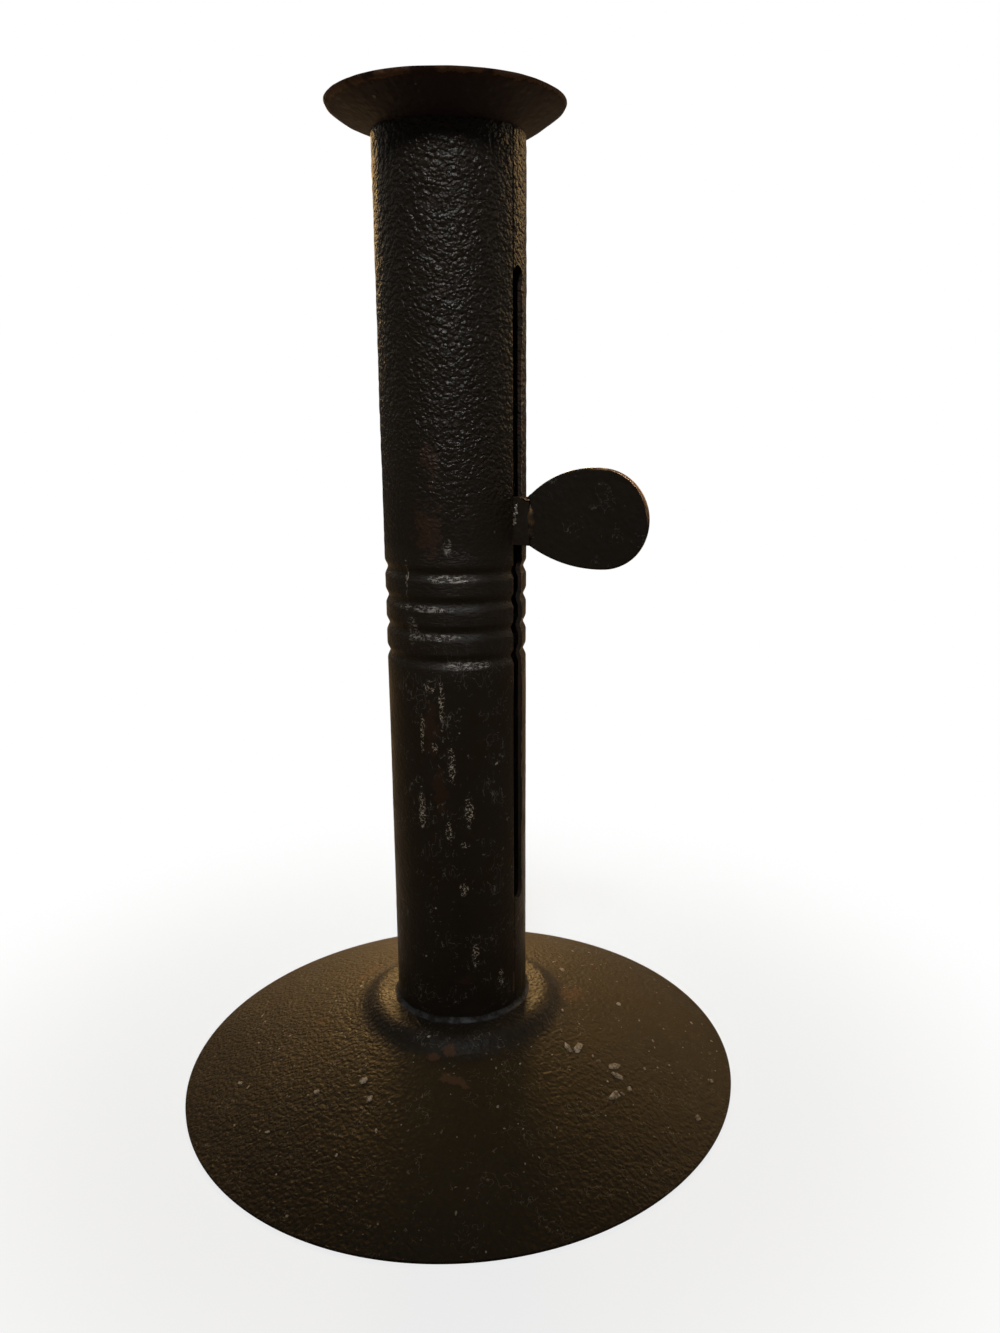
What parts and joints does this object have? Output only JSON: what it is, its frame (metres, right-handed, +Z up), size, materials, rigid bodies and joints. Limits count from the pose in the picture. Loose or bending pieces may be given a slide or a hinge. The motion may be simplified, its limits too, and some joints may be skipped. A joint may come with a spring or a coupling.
{
  "type": "hogscraper candlestick",
  "caption": "Slender iron candlestick: slotted tube on a domed base, flared lip, and a thumb tab that slides a pan inside the tube to raise the candle.",
  "frame": {"origin": "centre of the base, on the surface that the candlestick stands on", "axes": "+Z up along the tube, +X towards the slot and the thumb tab"},
  "size_m": [0.109, 0.109, 0.1775],
  "materials": {
    "base_iron": "worn black japan over sheet iron",
    "tube_iron": "worn black japan over sheet iron",
    "lip_iron": "worn black japan over sheet iron",
    "washer_iron": "dull black iron",
    "solder": "dull soft solder",
    "slide_iron": "bare sheet iron, browned",
    "tab_iron": "worn black japan, bright coppery edge",
    "braze": "dull brass braze"
  },
  "bodies": {
    "stand": {"base_dome": "base_iron", "shaft_tube": "tube_iron", "lip_pan": "lip_iron", "foot_washer": "washer_iron", "foot_solder": "solder"},
    "ejector": {"candle_pan": "slide_iron", "slide_collar": "slide_iron", "pan_rivets": "slide_iron", "thumb_tab": "tab_iron", "tab_braze": "braze"}
  },
  "joints": [
    {"name": "ejector_slide", "type": "slide", "parent": "stand", "child": "ejector", "axis": [0, 0, 1], "range_m": [-0.067, 0.0368]}
  ]
}
